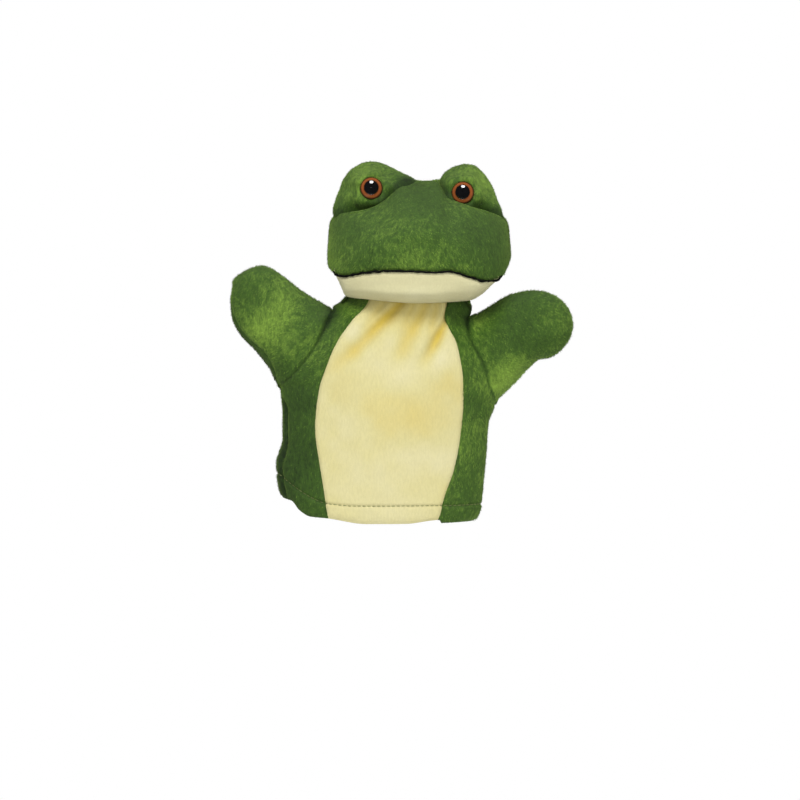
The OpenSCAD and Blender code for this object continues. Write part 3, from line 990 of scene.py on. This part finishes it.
def head_parts(cols):
    """The grids of the chin, the snout, and the head's top and back."""
    x, deep, top, foot, crown, mouth, neck = head_columns(cols)
    out = 51.5 * deep
    low = mouth - foot
    rise = top - mouth
    ridge = ridge_front(x)
    chin = [(-(neck + share * (out - neck)), foot + up * low)
            for share, up in ((0, 0), (0.45, 0.06), (0.76, 0.27))]
    chin += [(-0.90 * out, foot + 0.6 * low), (-0.955 * out, mouth)]
    snout = [(-share * out, mouth + up * rise)
             for share, up in ((0.995, 0.13), (1, 0.28), (0.975, 0.43))]
    snout += [(-(ridge + share * (out - ridge)), mouth + up * rise)
              for share, up in ((0.80, 0.6), (0.53, 0.77), (0.22, 0.925))]
    snout.append((-ridge, top))
    behind = 41.5 * deep
    nape = foot + 1.0
    waist = 171.0
    # Beside the eyes the snout's edge rolls under, in front of the mounds
    roll = 5.5 * ease(9.5, 19, ridge)
    over = [(-ridge, top), (-(ridge - 1.6), top - 0.35 * roll), (-(ridge - 2.9), top - roll),
            (-ridge * 0.55, top - 0.3 * roll + (crown - top) * 0.5)]
    # Two quarter rounds: from the crown down to the waist, and from there in to the nape
    for near, end, angles in ((4 * deep, crown, (90, 66, 42, 20, 0)), (neck, nape, (22, 45, 68, 90))):
        for angle in angles:
            c, s = math.cos(math.radians(angle)), math.sin(math.radians(angle))
            over.append((near + (behind - near) * c, waist + (end - waist) * s))
    # At the head's sides the mouth seam turns back, and the snout panel takes over from the chin
    face = chin + snout
    seam = (len(chin) - 1) * (1 - np.maximum(ease(-27, -30.6, x), ease(73.6, 78.4, x)))
    return (head_part(face, x, 60, 0, seam), slimmed(head_part(face, x, 150, seam, len(face) - 1)),
            slimmed(head_part(over, x, 170, 0, len(over) - 1)))


def head_guide(g):
    core = np.clip(g, [HEAD_X - 34, -24, 162], [HEAD_X + 34, 16, 182])
    return unit(g - core)


chin, snout, over = head_parts(230)
mouth_row = snout[0].copy()
corner = np.maximum(ease(-23, -26, chin[..., 0]), ease(69.5, 72.5, chin[..., 0]))
chin_lumps = wrinkles(chin, 0.35, 0.12, 52) * ease(0, 6, run_from(chin, "top"))
chin = pushed(chin, tuck(chin, "top", depth=0.9 + 0.9 * corner) + chin_lumps - COAT,
              guide=head_guide)
snout_lumps = wrinkles(snout, 0.8, 0.3, 52) * ease(0, 6, run_from(snout, "bottom"))
snout = pushed(snout, tuck(snout, "bottom", depth=0.7, width=1.2) + snout_lumps - COAT,
               guide=head_guide)
over = pushed(over, wrinkles(over, 0.8, 0.3, 52) - COAT, guide=head_guide)
for name, g, cloth, tone, node, seed, droop, bare in (
    ("chin", chin, CREAM, pale_tone, "chin_panel", 61, -1.0, 32),
    ("snout", snout, GREEN, green_tone, "snout_panel", 62, -1.0, 0),
    ("head_back", over, GREEN, green_tone, "head_back_panel", 63, 1.0, 0),
):
    make_panel(name, g, cloth, tone, (node,), seed, body="head", droop=droop, guide=head_guide,
               bare=bare)
# Longer tufts along the snout's lower edge, which hang over the mouth line
cover_in_pile("snout_fringe", snout[:5], GREEN, green_tone, 64, "head", length=2.3,
              guide=head_guide, lean=62)


# ---------------------------------------------------------------- eye mounds

EYE_R = 7.0                 # the eye's radius, and its black middle's
PUPIL_R = 4.4


def mound_grid(centre, right, left, height, eye, seed):
    """A domed panel behind the snout's upper edge, spreading into the head's sides below.

    right and left give its reach to either side at each height above its centre.
    """
    lat = np.radians(np.linspace(-32, 85, 80))[:, None]
    turn = full_turn(150)[None]
    c, s = np.cos(turn), np.sin(turn)
    z = height * np.sin(lat) + 0 * c
    z = np.where(z < 0, 1.3 * z, z)
    x = np.where(c > 0, left(z), right(z)) * c
    y = 17.0 * s * np.where(lat > 0, np.cos(lat), 1) + 5 * np.clip(-s, 0, 1) * ease(2, -12, z)
    g = np.stack([x, y, z], -1) + centre
    away = np.linalg.norm((g - eye) * [1, 0, 1], axis=-1)
    in_front = g[..., 1] < centre[1]
    around = np.arctan2(g[..., 2] - eye[2], g[..., 0] - eye[0])
    pulls = 0.7 * np.sin(around * 5 + centre[0]) * bell(away - 11, 4) * in_front
    folds = 1.2 * noise(g * [1, 1, 0.6], 11, seed) * ease(8, 14, away)
    near_eye = ease(8, 11, away) * ease(24, 12, away) * in_front
    folds = folds + 0.55 * noise(g, 4.5, seed + 3) * near_eye
    # The fabric rises to the eye's rim and is pressed flat behind it
    pressed = 2.0 * ease(EYE_R - 1.4, EYE_R + 0.7, away)
    seat = eye[1] + 0.6 - pressed + 0.13 * (g[..., 2] - eye[2])
    close = (1 - ease(EYE_R + 1.4, 15, away)) * in_front
    g[..., 1] = between(g[..., 1], seat, close)
    g = pushed(g, pulls + folds - COAT * (1 - close), closed=True)
    pole = g[-1].mean(axis=0) + [0, 0, 0.15]
    return np.concatenate([g, np.broadcast_to(pole, g[:1].shape)])


# Each eye's place, and how far it is turned and tipped up
EYES = {"right": ((-4.8, -21.0, 206.3), (0, 8)), "left": ((51.4, -20.0, 203.6), (-4, 7))}
# Each mound's centre, its reach to the right and to the left, its height and its seed
MOUNDS = (
    ("right", (-5.5, -4.2, 200),
     curve((-14, 22), (-9, 23.7), (-5, 23.1), (-1, 21.6), (7, 18.8), (10.2, 18), (14, 15.9),
           (19, 11.9), (22, 7.9), (23.4, 4.8), (24.2, 0)),
     curve((-14, 34), (0, 34), (9, 31), (12, 28.5), (14.8, 23.5), (17.2, 18.6), (20, 13.4),
           (22.4, 8.4), (23.5, 5), (24.2, 0)), 24.2, 71),
    ("left", (52.5, -3.4, 199),
     curve((-14, 20), (0, 17.5), (8, 16.5), (13.9, 15.2), (17.8, 12.8), (20.5, 9.9), (22.2, 6),
           (22.9, 0)),
     curve((-14, 23), (-10, 24.8), (-5.4, 24), (0, 21.6), (6, 19.2), (10.4, 16.9), (15, 13.9),
           (18.6, 10.6), (21.6, 6.2), (22.9, 0)), 22.9, 72),
)


def mound_shaded_tone(p):
    """The mounds' nap, with painted shade in the fold behind the snout's upper edge."""
    above = p[..., 2] - snout_top(p[..., 0])
    return green_tone(p) - 1.1 * ease(7, 0.5, above) * ease(4, -4, p[..., 1])


for side, centre, right, left, height, seed in MOUNDS:
    g = mound_grid(np.array(centre), right, left, height, np.array(EYES[side][0]), seed)
    make_panel(f"{side}_mound", g, GREEN, mound_shaded_tone, (f"{side}_eye_mound",), seed + 10,
               body="head", closed=True, length=1.5,
               guide=lambda p, low=np.array(centre) - [0, 0, 12]: unit(p - low))


# ---------------------------------------------------------------- stitching and label

def path_run(path):
    """How far along a path each of its points lies."""
    return np.concatenate([[0], np.cumsum(np.linalg.norm(np.diff(path, axis=0), axis=-1))])


def along_path(path, run, at):
    """The points of a path at the given distances along it."""
    return np.stack([np.interp(at, run, path[:, c]) for c in range(3)], -1)


def mouth_line():
    """The embroidered line along the mouth seam, uneven where the pile crosses it."""
    inside = (mouth_row[:, 0] > -30.9) & (mouth_row[:, 0] < 78.9)
    path = mouth_row[inside]
    round_side = np.maximum(ease(-26.5, -28.6, path[:, 0]), ease(73.2, 75.8, path[:, 0]))
    path = between(path + [0, 0.15, -0.25], snout[0][inside], round_side[:, None])
    run = path_run(path)
    even = np.arange(0, run[-1], 0.7)
    path = along_path(path, run, even)
    round_side = np.interp(even, run, round_side)
    path[:, 2] += 0.35 * noise(path, 2.6, 91) * (1 - round_side)
    thick = (0.68 + 0.3 * noise(path, 2.0, 92)) * (1 + 0.1 * round_side)
    line = tube("mouth_line", path, thick, black_thread)
    join_frame(line, ("mouth_stitching",), "head")


mouth_line()


STITCH_PITCH = 3.0
STITCH_LENGTH = 2.3
STITCH_RINGS = STITCH_SIDES = 6


def stitch(path):
    """A short thread, six-sided, that arches out of the cloth along a path: its points and faces."""
    outward = unit(np.cross(unit(path[-1] - path[0]), [0, 0, 1.0]))
    arch = np.sin(np.linspace(0, math.pi, STITCH_RINGS))[:, None]
    path = path + outward * (0.1 + 0.35 * arch)
    turn = full_turn(STITCH_SIDES)[:, None]
    ring = outward * np.cos(turn) + [0, 0, 1.0] * np.sin(turn)
    thick = 0.22 * np.sqrt(np.clip(arch, 0.15, 1))
    points = (path[:, None] + thick[:, None] * ring).reshape(-1, 3)
    index = np.arange(len(points)).reshape(STITCH_RINGS, STITCH_SIDES)
    first, last = index[0], index[-1]
    caps = [first[[3, 2, 1, 0]], first[[5, 4, 3, 0]], last[[0, 1, 2, 3]], last[[0, 3, 4, 5]]]
    return points, np.concatenate([quads_between(ring_closed(index)), caps])


def hem_stitches():
    """Running stitches in the groove above the hem, right round the body."""
    row = int(np.argmin(np.abs(body_rows - HEM)))
    names = ("right_flank", "belly", "left_flank", "back_panel")
    loop = np.concatenate([body_grids[name][row] for name in names])
    run = path_run(loop)
    points, faces = [], []
    for k in range(int(run[-1] / STITCH_PITCH)):
        at = k * STITCH_PITCH + np.linspace(0, STITCH_LENGTH, STITCH_RINGS)
        new_points, new_faces = stitch(along_path(loop, run, at))
        faces.append(new_faces + k * len(new_points))
        points.append(new_points)
    stitches = new_mesh("hem_stitches", np.concatenate(points), np.concatenate(faces), [hem_thread])
    join_frame(stitches, ("hem_stitching",), "body")


hem_stitches()


def care_label():
    """A blank folded tape, sewn in the side seam and curling inside the body."""
    low, high = (np.array(c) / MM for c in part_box("care_label"))
    t = np.linspace(0, 1, 24)[None]
    v = np.linspace(0, 1, 20)[:, None]
    x = low[0] + (high[0] - low[0]) * t + 0 * v
    y = 1.8 * np.sin(t * 2.6) * (0.4 + 0.6 * v) + 0 * v
    z = low[2] + (high[2] - low[2]) * v + 0 * t
    g = np.stack([x, y, z], -1)
    label = shell("label", g, label_tape, thick=0.5)
    join_frame(label, ("care_label",), "body")


care_label()


# ---------------------------------------------------------------- filling and finger pocket

def head_filling():
    """The loose fibre inside the head, a soft lumpy form a little inside the fabric."""
    c, s, o = head_parts(70)
    g = np.concatenate([c[::3], s[3::4], o[4::5]])
    middle = np.array([HEAD_X, 0, HEAD_Z])
    g = middle + (g - middle) * 0.93 + grid_normals(g) * 0.5 * noise(g, 8, 95)[..., None]
    body = shell("head_filling", g, filling, thick=3.0)
    join_frame(body, ("head_stuffing",), "head")


head_filling()


def finger_pocket():
    """A cloth sleeve with a round end, and a few soft folds round its open edge."""
    low, high = (np.array(c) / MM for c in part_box("finger_pocket"))
    middle = (low + high) / 2
    radius = (high[0] - low[0]) / 2
    v = np.linspace(0, 1, 60)[:, None]
    turn = full_turn(64)[None]
    tall = high[2] - low[2]
    dome = np.sqrt(np.clip(1 - np.clip((v - 0.72) / 0.28, 0, 0.999) ** 2, 0, 1))
    r = radius * dome * (1 - 0.03 * np.cos(turn * 7) * (1 - v))
    z = low[2] + tall * v + 0 * turn
    g = np.stack([middle[0] + r * np.cos(turn), r * np.sin(turn), z], -1)
    pocket = shell("finger_pocket_cloth", g, lining_cloth, thick=0.8, closed=True)
    join_frame(pocket, ("finger_pocket",), "head")


finger_pocket()


# ---------------------------------------------------------------- eyes

def lathe(name, profile, material):
    """A closed solid turned round local Z from (radius, height) pairs, both ends on the axis
    or joined to each other."""
    steps = 72
    profile = np.array(profile, float)
    turn = full_turn(steps)
    ring = np.stack([np.cos(turn), np.sin(turn), 0 * turn], -1)
    points = profile[:, None, :1] * ring + profile[:, None, 1:] * np.array([0, 0, 1.0])
    index = ring_closed(np.arange(len(profile) * steps).reshape(len(profile), steps))
    index = np.concatenate([index, index[:1]])
    return new_mesh(name, points.reshape(-1, 3), quads_between(index), [material])


def iris_material():
    """Painted amber behind clear plastic: streaks from the pupil, darker at the rim."""
    amber = srgb(186, 84, 38)
    s = Shader("amber_eye", amber, 0.12, Specular_IOR_Level=0.4)
    place = s.node("ShaderNodeTexCoord")
    flat = s.node("ShaderNodeMapping", Scale=(1, 1, 0))
    s.link(place.outputs["Object"], flat.inputs["Vector"])
    spot = s.distance(flat.outputs["Vector"], (PUPIL_R - 0.1) * MM, EYE_R * MM)
    rings = s.ramp(spot.outputs["Result"], (0.0, srgb(44, 25, 15)), (0.22, srgb(136, 72, 36)),
                   (0.55, srgb(150, 84, 42)), (0.8, srgb(82, 48, 26)), (1.0, srgb(26, 17, 12)))
    angle = s.node("ShaderNodeTexGradient")
    angle.gradient_type = "RADIAL"
    s.link(place.outputs["Object"], angle.inputs["Vector"])
    streaks = s.node("ShaderNodeTexNoise", Scale=60.0, Detail=3.0)
    s.link(angle.outputs["Fac"], streaks.inputs["Vector"])
    tint = s.ramp(streaks.outputs["Fac"], (0.3, (0.7, 0.65, 0.6, 1)), (0.7, (1.0, 1.0, 1.0, 1)))
    s.paint(s.multiply(0.6, rings, tint))
    s.roughen(streaks.outputs["Fac"], 0.08, 0.16)
    return s.material


def glossy_black():
    return grained("black_eye", srgb(6, 6, 7), 0.06, 400, (srgb(5, 5, 6), srgb(11, 11, 13)),
                   (0.04, 0.09), Specular_IOR_Level=0.9)


def washer_plastic():
    colour = srgb(214, 212, 204)
    return grained("washer_plastic", colour, 0.5, 250, (scaled(colour, 0.93), colour), (0.4, 0.6))


amber_eye, black_eye, white_plastic = iris_material(), glossy_black(), washer_plastic()
EYE_H = 5.0
BASE = 0.4                  # how far the eye's flat back lies in front of its own origin
RISE = EYE_H - 1
DOME_R = ((EYE_R + 0.2) ** 2 + RISE**2) / (2 * RISE)


def dome(r):
    """The height of the eye's domed front at radius r."""
    return EYE_H - DOME_R + math.sqrt(DOME_R**2 - r * r)


def eye(side):
    """A safety eye: the amber ring, the black core with its stem, and the washer on the stem."""
    place, (yaw, pitch) = EYES[side]
    stem_r, stem_l = 2.2, 13.0
    rim = [(r, dome(r)) for r in np.linspace(PUPIL_R + 0.03, EYE_R - 0.35, 14)]
    edge = [(EYE_R - 0.12, dome(EYE_R) - 0.02), (EYE_R, dome(EYE_R) - 0.25), (EYE_R, BASE + 0.1),
            (EYE_R - 0.15, BASE), (PUPIL_R + 0.03, BASE)]
    core = [(0.001, BASE - stem_l - 0.4), (stem_r - 0.5, BASE - stem_l - 0.4),
            (stem_r, BASE - stem_l), (stem_r, BASE), (PUPIL_R - 0.1, BASE), (PUPIL_R, BASE + 0.1)]
    core += [(r, dome(r)) for r in np.linspace(PUPIL_R, 0.001, 16)]
    washer = [(stem_r + 0.05, -4.6), (stem_r + 0.05, -6.0), (5.2, -6.0), (7.6, -5.6), (8.0, -5.2),
              (7.9, -4.8), (5.0, -4.6)]
    turned = Euler((math.radians(90 - pitch), 0, math.radians(yaw)))
    for part, profile, material, slot in (
        ("iris", rim + edge, amber_eye, "amber_eye"), ("pupil", core, black_eye, "black_eye"),
        ("washer", washer, white_plastic, "washer_plastic"),
    ):
        piece = lathe(f"{side}_{part}", profile, material)
        piece.location = Vector(place) * MM
        piece.rotation_euler = turned
        join_frame(piece, (f"{side}_eye_{part}",), "head")


for side in EYES:
    eye(side)


# ---------------------------------------------------------------- stage, lights and camera

def area_light(name, place, aim, size, power, colour=(1, 1, 1), only_mirrored=False):
    light = bpy.data.lights.new(name, "AREA")
    light.shape = "DISK"
    light.size = size
    light.energy = power
    light.color = colour
    obj = bpy.data.objects.new(name, light)
    obj.location = place
    obj.visible_glossy = only_mirrored
    obj.visible_diffuse = not only_mirrored
    obj.rotation_euler = (Vector(aim) - Vector(place)).to_track_quat("-Z", "Y").to_euler()
    bpy.context.scene.collection.objects.link(obj)


def floor_material():
    """Pale paper that thins out to nothing towards its edge, so no horizon shows."""
    s = Shader("floor_paper", (0.9, 0.9, 0.9, 1), 0.95)
    grain = s.noise(40)
    s.paint(s.ramp(grain, (0.3, (0.88, 0.88, 0.88, 1)), (0.7, (0.92, 0.92, 0.92, 1))))
    place = s.node("ShaderNodeTexCoord")
    fade = s.distance(place.outputs["Object"], 0.15, 0.75, To_Min=1.0, To_Max=0.0)
    fade.interpolation_type = "SMOOTHSTEP"
    above = s.node("ShaderNodeMath")
    above.operation = "SUBTRACT"
    above.use_clamp = True
    side = s.node("ShaderNodeNewGeometry")
    s.link(fade.outputs["Result"], above.inputs[0])
    s.link(side.outputs["Backfacing"], above.inputs[1])
    s.link(above.outputs["Value"], s.principled.inputs["Alpha"])
    return s.material


def studio_world():
    """White to look at, dimmer as a light, and dimmer still in the mirror of the eyes."""
    world = bpy.data.worlds.new("studio")
    world.use_nodes = True
    tree = world.node_tree

    def glow(node, colour, strength):
        node.inputs["Color"].default_value = colour
        node.inputs["Strength"].default_value = strength
        return node

    seen = glow(tree.nodes["Background"], (1, 1, 1, 1), 1.0)
    shown = glow(tree.nodes.new("ShaderNodeBackground"), (0.96, 0.98, 1, 1), 0.55)
    dim = glow(tree.nodes.new("ShaderNodeBackground"), (1, 1, 1, 1), 0.05)
    rays = tree.nodes.new("ShaderNodeLightPath")
    for ray, background in (("Is Glossy Ray", dim), ("Is Camera Ray", seen)):
        mix = tree.nodes.new("ShaderNodeMixShader")
        tree.links.new(rays.outputs[ray], mix.inputs[0])
        tree.links.new(shown.outputs[0], mix.inputs[1])
        tree.links.new(background.outputs[0], mix.inputs[2])
        shown = mix
    tree.links.new(shown.outputs[0], tree.nodes["World Output"].inputs["Surface"])
    bpy.context.scene.world = world


def stage():
    """A floor far below the hem, a white world and five soft lights."""
    size, drop = 900.0, -260.0
    corners = [(-size, -size, 0), (size, -size, 0), (size, size, 0), (-size, size, 0)]
    floor = new_mesh("floor", corners, [[0, 1, 2, 3]], [floor_material()])
    floor.location.z = drop * MM
    studio_world()
    middle = (0.013, 0, 0.11)
    area_light("key", (-0.2, -1.5, 1.2), middle, 0.6, 24)
    area_light("fill", (0.7, -1.6, 0.4), middle, 0.9, 8)
    area_light("catch", (0.02, -0.8, 1.75), (0.02, 0, 0.2), 0.8, 26, only_mirrored=True)
    area_light("back_right", (-1.1, 1.0, 0.7), middle, 0.6, 9, (1, 0.98, 0.93))
    area_light("back_left", (1.1, 1.0, 0.7), middle, 0.6, 9, (1, 0.98, 0.93))
    scene = bpy.context.scene
    scene.view_settings.view_transform = "Standard"
    scene.view_settings.look = "None"


stage()

DISTANCE = 2.6              # from the camera to its aim, in metres
VIEW_WIDTH = 0.496          # what it takes in there
CAMERA_RISE = math.radians(2)
AIM = Vector((0.0128, 0, 0.0756))


def camera():
    data = bpy.data.cameras.new("camera")
    data.sensor_width = 36
    data.lens = data.sensor_width * DISTANCE / VIEW_WIDTH
    obj = bpy.data.objects.new("camera", data)
    obj.location = AIM + DISTANCE * Vector((0, -math.cos(CAMERA_RISE), math.sin(CAMERA_RISE)))
    obj.rotation_euler = (math.pi / 2 - CAMERA_RISE, 0, 0)
    bpy.context.scene.collection.objects.link(obj)
    bpy.context.scene.camera = obj


camera()
